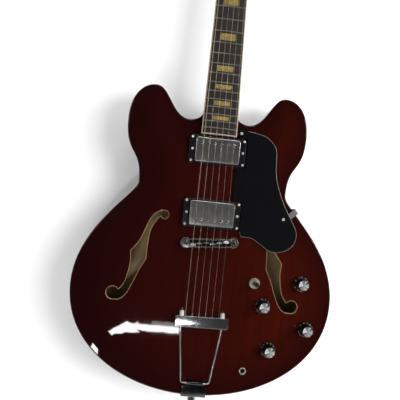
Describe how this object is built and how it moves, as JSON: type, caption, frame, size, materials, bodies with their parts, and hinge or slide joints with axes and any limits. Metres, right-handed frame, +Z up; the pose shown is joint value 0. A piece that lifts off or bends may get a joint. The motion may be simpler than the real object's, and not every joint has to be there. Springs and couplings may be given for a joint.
{
  "type": "semi-hollow electric guitar",
  "caption": "Semi-hollow electric guitar with two rounded cutaways, f-holes, covered pickups, an adjustable bridge and a wire trapeze tailpiece",
  "frame": {"origin": "the middle of the glue line between neck and fretboard, under the front edge of the nut, where a wall hanger holds the neck", "axes": "+Z runs up the neck, parallel to the plane of the rim; +X points to the treble side; +Y points out of the back, so the strings face -Y"},
  "size_m": [0.416, 0.1114, 1.062],
  "materials": {
    "body_lacquer": "maple plywood under dark wine-red gloss lacquer, faintly darker at the edges",
    "bare_maple": "bare maple, seen only through the f-holes",
    "neck_lacquer": "mahogany under dark wine-red gloss lacquer",
    "rosewood": "oiled dark rosewood with fine open pores",
    "bone": "polished cream bone",
    "black_plastic": "moulded black plastic, lightly polished",
    "lever_plastic": "black switch tip",
    "button_plastic": "pale pearloid tuner grips",
    "nickel": "nickel plate, a little warm and worn",
    "chrome": "mirror chrome plate",
    "plain_steel": "plain zinc-plated steel",
    "wound_string": "round-wound nickel-steel strings",
    "plain_string": "plain steel strings"
  },
  "bodies": {
    "body": {"truss_rod_cover": "black_plastic", "tuner_strip_bass": "nickel", "tuner_strip_treble": "nickel", "fretboard": "rosewood", "nut": "bone", "strap_button_heel": "nickel", "body_top": "body_lacquer", "body_rim": "body_lacquer", "body_back": "body_lacquer", "centre_block": "bare_maple", "neck": "neck_lacquer", "truss_rod": "plain_steel", "neck_pickup_ring": "black_plastic", "bridge_pickup_ring": "black_plastic", "tailpiece_wire": "chrome", "tailpiece_bar": "chrome", "tailpiece_hinge": "chrome", "strap_button_tail": "nickel", "pickguard": "black_plastic", "pickguard_bracket": "nickel", "pot_bass_volume": "plain_steel", "pot_treble_volume": "plain_steel", "pot_bass_tone": "plain_steel", "pot_treble_tone": "plain_steel", "toggle_switch": "chrome", "output_jack": "nickel", "string_1": "wound_string", "string_2": "wound_string", "string_3": "wound_string", "string_4": "plain_string", "string_5": "plain_string", "string_6": "plain_string"},
    "tuner_button_1": {"tuner_button_1": "button_plastic"},
    "tuner_post_1": {"tuner_post_1": "nickel"},
    "tuner_button_2": {"tuner_button_2": "button_plastic"},
    "tuner_post_2": {"tuner_post_2": "nickel"},
    "tuner_button_3": {"tuner_button_3": "button_plastic"},
    "tuner_post_3": {"tuner_post_3": "nickel"},
    "tuner_button_4": {"tuner_button_4": "button_plastic"},
    "tuner_post_4": {"tuner_post_4": "nickel"},
    "tuner_button_5": {"tuner_button_5": "button_plastic"},
    "tuner_post_5": {"tuner_post_5": "nickel"},
    "tuner_button_6": {"tuner_button_6": "button_plastic"},
    "tuner_post_6": {"tuner_post_6": "nickel"},
    "knob_bass_volume": {"knob_bass_volume": "black_plastic"},
    "knob_treble_volume": {"knob_treble_volume": "black_plastic"},
    "knob_bass_tone": {"knob_bass_tone": "black_plastic"},
    "knob_treble_tone": {"knob_treble_tone": "black_plastic"},
    "toggle_lever": {"toggle_lever": "lever_plastic"},
    "neck_pickup": {"neck_pickup": "nickel"},
    "bridge_pickup": {"bridge_pickup": "nickel"},
    "bridge": {"bridge_body": "nickel"},
    "thumbwheel_bass": {"thumbwheel_bass": "nickel"},
    "thumbwheel_treble": {"thumbwheel_treble": "nickel"},
    "saddle_1": {"saddle_1": "nickel"},
    "saddle_2": {"saddle_2": "nickel"},
    "saddle_3": {"saddle_3": "nickel"},
    "saddle_4": {"saddle_4": "nickel"},
    "saddle_5": {"saddle_5": "nickel"},
    "saddle_6": {"saddle_6": "nickel"}
  },
  "joints": [
    {"name": "tuner_button_1_turn", "type": "hinge", "parent": "body", "child": "tuner_button_1", "pos_m": [-0.0283, 0.03328, 0.04087], "axis": [-1, 0, 0], "continuous": true},
    {"name": "tuner_post_1_turn", "type": "hinge", "parent": "body", "child": "tuner_post_1", "pos_m": [-0.0245, 0.01321, 0.04705], "axis": [0, -0.9558, 0.294], "continuous": true},
    {"name": "tuner_button_2_turn", "type": "hinge", "parent": "body", "child": "tuner_button_2", "pos_m": [-0.0283, 0.04534, 0.08007], "axis": [-1, 0, 0], "continuous": true},
    {"name": "tuner_post_2_turn", "type": "hinge", "parent": "body", "child": "tuner_post_2", "pos_m": [-0.0245, 0.02527, 0.08624], "axis": [0, -0.9558, 0.294], "continuous": true},
    {"name": "tuner_button_3_turn", "type": "hinge", "parent": "body", "child": "tuner_button_3", "pos_m": [-0.0283, 0.0574, 0.11926], "axis": [-1, 0, 0], "continuous": true},
    {"name": "tuner_post_3_turn", "type": "hinge", "parent": "body", "child": "tuner_post_3", "pos_m": [-0.0245, 0.03732, 0.12544], "axis": [0, -0.9558, 0.294], "continuous": true},
    {"name": "tuner_button_4_turn", "type": "hinge", "parent": "body", "child": "tuner_button_4", "pos_m": [0.0283, 0.0574, 0.11926], "axis": [1, 0, 0], "continuous": true},
    {"name": "tuner_post_4_turn", "type": "hinge", "parent": "body", "child": "tuner_post_4", "pos_m": [0.0245, 0.03732, 0.12544], "axis": [0, -0.9558, 0.294], "continuous": true},
    {"name": "tuner_button_5_turn", "type": "hinge", "parent": "body", "child": "tuner_button_5", "pos_m": [0.0283, 0.04534, 0.08007], "axis": [1, 0, 0], "continuous": true},
    {"name": "tuner_post_5_turn", "type": "hinge", "parent": "body", "child": "tuner_post_5", "pos_m": [0.0245, 0.02527, 0.08624], "axis": [0, -0.9558, 0.294], "continuous": true},
    {"name": "tuner_button_6_turn", "type": "hinge", "parent": "body", "child": "tuner_button_6", "pos_m": [0.0283, 0.03328, 0.04087], "axis": [1, 0, 0], "continuous": true},
    {"name": "tuner_post_6_turn", "type": "hinge", "parent": "body", "child": "tuner_post_6", "pos_m": [0.0245, 0.01321, 0.04705], "axis": [0, -0.9558, 0.294], "continuous": true},
    {"name": "knob_bass_volume_turn", "type": "hinge", "parent": "body", "child": "knob_bass_volume", "pos_m": [0.15301, -0.02716, -0.68207], "axis": [0, -1, 0], "range_deg": [0, 300]},
    {"name": "knob_treble_volume_turn", "type": "hinge", "parent": "body", "child": "knob_treble_volume", "pos_m": [0.09449, -0.02766, -0.72159], "axis": [0, -1, 0], "range_deg": [0, 300]},
    {"name": "knob_bass_tone_turn", "type": "hinge", "parent": "body", "child": "knob_bass_tone", "pos_m": [0.1665, -0.02483, -0.75349], "axis": [0, -1, 0], "range_deg": [0, 300]},
    {"name": "knob_treble_tone_turn", "type": "hinge", "parent": "body", "child": "knob_treble_tone", "pos_m": [0.1092, -0.0275, -0.78928], "axis": [0, -1, 0], "range_deg": [0, 300]},
    {"name": "toggle_lever_tilt", "type": "hinge", "parent": "body", "child": "toggle_lever", "pos_m": [0.0784, -0.02836, -0.68728], "axis": [0.3746, 0, 0.9272], "range_deg": [-26, 0]},
    {"name": "neck_pickup_height", "type": "slide", "parent": "body", "child": "neck_pickup", "axis": [0, -1, 0], "range_m": [-0.003, 0]},
    {"name": "bridge_pickup_height", "type": "slide", "parent": "body", "child": "bridge_pickup", "axis": [0, -1, 0], "range_m": [-0.003, 0]},
    {"name": "bridge_height", "type": "slide", "parent": "body", "child": "bridge", "axis": [0, -1, 0], "range_m": [-0.003, 0]},
    {"name": "thumbwheel_bass_turn", "type": "hinge", "parent": "bridge", "child": "thumbwheel_bass", "pos_m": [-0.03579, -0.01446, -0.63293], "axis": [0, -1, 0], "range_deg": [-1350, 0]},
    {"name": "thumbwheel_treble_turn", "type": "hinge", "parent": "bridge", "child": "thumbwheel_treble", "pos_m": [0.03819, -0.01446, -0.62723], "axis": [0, -1, 0], "range_deg": [-1350, 0]},
    {"name": "saddle_1_intonation", "type": "slide", "parent": "bridge", "child": "saddle_1", "axis": [-0.0767, 0, 0.9971], "range_m": [-0.00052, 0.00468]},
    {"name": "saddle_2_intonation", "type": "slide", "parent": "bridge", "child": "saddle_2", "axis": [-0.0767, 0, 0.9971], "range_m": [-0.00169, 0.00351]},
    {"name": "saddle_3_intonation", "type": "slide", "parent": "bridge", "child": "saddle_3", "axis": [-0.0767, 0, 0.9971], "range_m": [-0.00299, 0.00221]},
    {"name": "saddle_4_intonation", "type": "slide", "parent": "bridge", "child": "saddle_4", "axis": [-0.0767, 0, 0.9971], "range_m": [-0.0013, 0.0039]},
    {"name": "saddle_5_intonation", "type": "slide", "parent": "bridge", "child": "saddle_5", "axis": [-0.0767, 0, 0.9971], "range_m": [-0.00286, 0.00234]},
    {"name": "saddle_6_intonation", "type": "slide", "parent": "bridge", "child": "saddle_6", "axis": [-0.0767, 0, 0.9971], "range_m": [-0.00442, 0.00078]}
  ],
  "couplings": [
    {"joint": "tuner_post_1_turn", "follows": "tuner_button_1_turn", "ratio": -0.066667},
    {"joint": "tuner_post_2_turn", "follows": "tuner_button_2_turn", "ratio": -0.066667},
    {"joint": "tuner_post_3_turn", "follows": "tuner_button_3_turn", "ratio": -0.066667},
    {"joint": "tuner_post_4_turn", "follows": "tuner_button_4_turn", "ratio": 0.066667},
    {"joint": "tuner_post_5_turn", "follows": "tuner_button_5_turn", "ratio": 0.066667},
    {"joint": "tuner_post_6_turn", "follows": "tuner_button_6_turn", "ratio": 0.066667},
    {"joint": "thumbwheel_bass_turn", "follows": "bridge_height", "rad_per_m": 7854},
    {"joint": "thumbwheel_treble_turn", "follows": "bridge_height", "rad_per_m": 7854}
  ]
}
